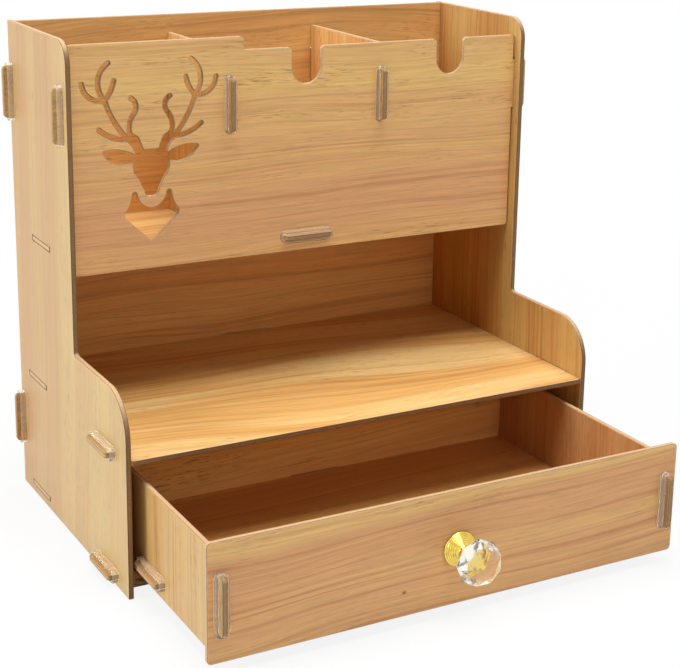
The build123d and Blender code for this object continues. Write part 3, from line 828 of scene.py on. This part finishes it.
TABLE_REACH = 9
TABLE_TOP = -0.0003
corners = [(x * TABLE_REACH, y * TABLE_REACH, TABLE_TOP) for x, y in ((-1, -1), (1, -1), (1, 1), (-1, 1))]
table_mesh = bpy.data.meshes.new("table")
table_mesh.from_pydata(corners, [], [(0, 1, 2, 3)])
table = bpy.data.objects.new("table", table_mesh)
bpy.context.scene.collection.objects.link(table)
table_finish, tree, output = new_finish("white_table")
top = shader(tree, "BsdfDiffuse", {"Color": (0.7, 0.7, 0.7, 1)})
from_object = shader(tree, "VectorMath", {0: shader(tree, "TexCoord").outputs["Object"]}, operation="LENGTH")
lift = ramp(tree, from_object.outputs["Value"], 0.35, 0.8, 0.88, 1.0)
glow = shader(tree, "Emission", {"Color": (1, 1, 1, 1), "Strength": 1.0})
sockets = {0: white_if_seen(tree, 0.0, lift), 1: top.outputs[0], 2: glow.outputs[0]}
table_top = shader(tree, "MixShader", sockets)
tree.links.new(table_top.outputs[0], output.inputs[0])
table_mesh.materials.append(table_finish)

world = bpy.data.worlds.new("studio")
bpy.context.scene.world = world
world.use_nodes = True
sky = world.node_tree
sky.nodes.clear()
air = shader(sky, "Background", {"Color": (1, 1, 1, 1), "Strength": white_if_seen(sky, 0.17, 1.0)})
sky.links.new(air.outputs[0], sky.nodes.new("ShaderNodeOutputWorld").inputs[0])


def look_from(place, aim):
    """The turn that points an object's -Z from place to aim."""
    way = np.subtract(aim, place)
    way = way / np.linalg.norm(way)
    right = np.cross(way, (0, 0, 1))
    right = right / np.linalg.norm(right)
    up = np.cross(right, way)
    return Matrix((right, up, -way)).transposed().to_4x4()


LAMP_AIM = (0, 0, 0.12)


def soft_lamp(name, place, size, power):
    """A square soft lamp that looks at the lower middle of the organizer, and isn't seen through plastic."""
    light = bpy.data.lights.new(name, "AREA")
    light.shape = "SQUARE"
    light.size = size
    light.energy = power
    lamp = bpy.data.objects.new(name, light)
    lamp.matrix_world = Matrix.Translation(place) @ look_from(place, LAMP_AIM)
    bpy.context.scene.collection.objects.link(lamp)
    lamp.visible_transmission = False


soft_lamp("overhead_lamp", (0, -0.05, 2.1), size=1.4, power=57)
soft_lamp("front_lamp", (0.1, -1.3, 0.8), size=0.5, power=2.4)
soft_lamp("left_lamp", (-2.3, 0.3, 0.9), size=1.1, power=35)

CAMERA_PLACE = (-0.4560, -0.8328, 0.4378)
CAMERA_PAN = -0.515
CAMERA_DOWN = 0.260
CAMERA_ROLL = 0.0193

lens = bpy.data.cameras.new("view")
lens.sensor_fit = "HORIZONTAL"
lens.sensor_width = 36
lens.lens = 84.86
lens.shift_x = -0.0467
lens.shift_y = -0.1283
lens.clip_start = 0.05
camera = bpy.data.objects.new("view", lens)
pan = Matrix.Rotation(CAMERA_PAN, 4, "Z")
tilt = Matrix.Rotation(pi / 2 - CAMERA_DOWN, 4, "X")
roll = Matrix.Rotation(CAMERA_ROLL, 4, "Z")
camera.matrix_world = Matrix.Translation(CAMERA_PLACE) @ pan @ tilt @ roll
bpy.context.scene.collection.objects.link(camera)
bpy.context.scene.camera = camera
bpy.context.scene.view_settings.view_transform = "Standard"
